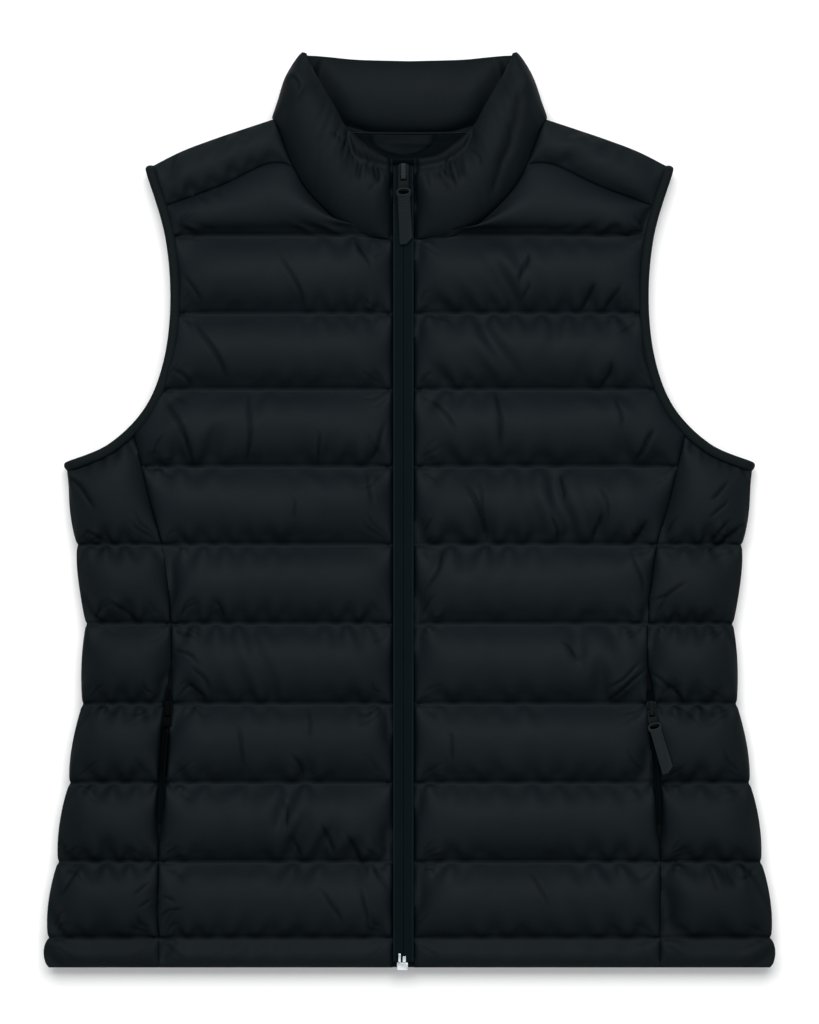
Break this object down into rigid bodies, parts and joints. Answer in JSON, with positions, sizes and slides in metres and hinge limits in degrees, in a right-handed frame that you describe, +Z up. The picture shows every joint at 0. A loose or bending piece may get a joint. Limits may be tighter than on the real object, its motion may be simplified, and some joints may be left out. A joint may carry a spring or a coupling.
{
  "type": "puffer vest",
  "caption": "Quilted puffer vest with a stand collar, front zip and two zipped seam pockets, zipped shut and laid flat face up.",
  "frame": {"origin": "middle of the flat underside, on the surface the vest lies on", "axes": "+Y from the hem to the collar, +X to the wearer's left, +Z up out of the front"},
  "size_m": [0.5486, 0.6877, 0.0315],
  "materials": {
    "shell": "smooth lightweight nylon, soft satin sheen",
    "binding": "stretch binding, fine rib, matt",
    "lining": "smooth nylon lining, soft sheen",
    "zip_tape": "woven polyester tape, matt",
    "dark_metal": "dark enamelled zip hardware, satin",
    "bright_metal": "bare silver zip stop",
    "pull_tab": "moulded soft rubber, satin"
  },
  "bodies": {
    "vest": {"back": "shell", "front_left": "shell", "front_right": "shell", "side_left": "shell", "side_right": "shell", "yoke_left": "shell", "yoke_right": "shell", "collar": "shell", "binding_left": "binding", "binding_right": "binding", "neck_lining": "lining", "zip_guard": "lining", "zip_tape_left": "zip_tape", "zip_tape_right": "zip_tape", "pocket_tape_left": "zip_tape", "pocket_tape_right": "zip_tape", "zip_slider": "dark_metal", "pocket_slider_left": "dark_metal", "pocket_slider_right": "dark_metal", "pocket_link_right": "dark_metal", "zip_box": "bright_metal", "zip_pin_left": "bright_metal", "zip_pin_right": "bright_metal", "pocket_tab_right": "pull_tab"},
    "front_pull": {"zip_link": "dark_metal", "zip_tab": "pull_tab"},
    "pocket_pull": {"pocket_link_left": "dark_metal", "pocket_tab_left": "pull_tab"}
  },
  "joints": [
    {"name": "front_pull_hinge", "type": "hinge", "parent": "vest", "child": "front_pull", "pos_m": [-0.0046, 0.2522, 0.0218], "axis": [-1, 0, 0], "range_deg": [0, 125]},
    {"name": "pocket_pull_hinge", "type": "hinge", "parent": "vest", "child": "pocket_pull", "pos_m": [0.1812, -0.14936, 0.02007], "axis": [-0.9903, -0.1392, 0], "range_deg": [0, 115]}
  ]
}
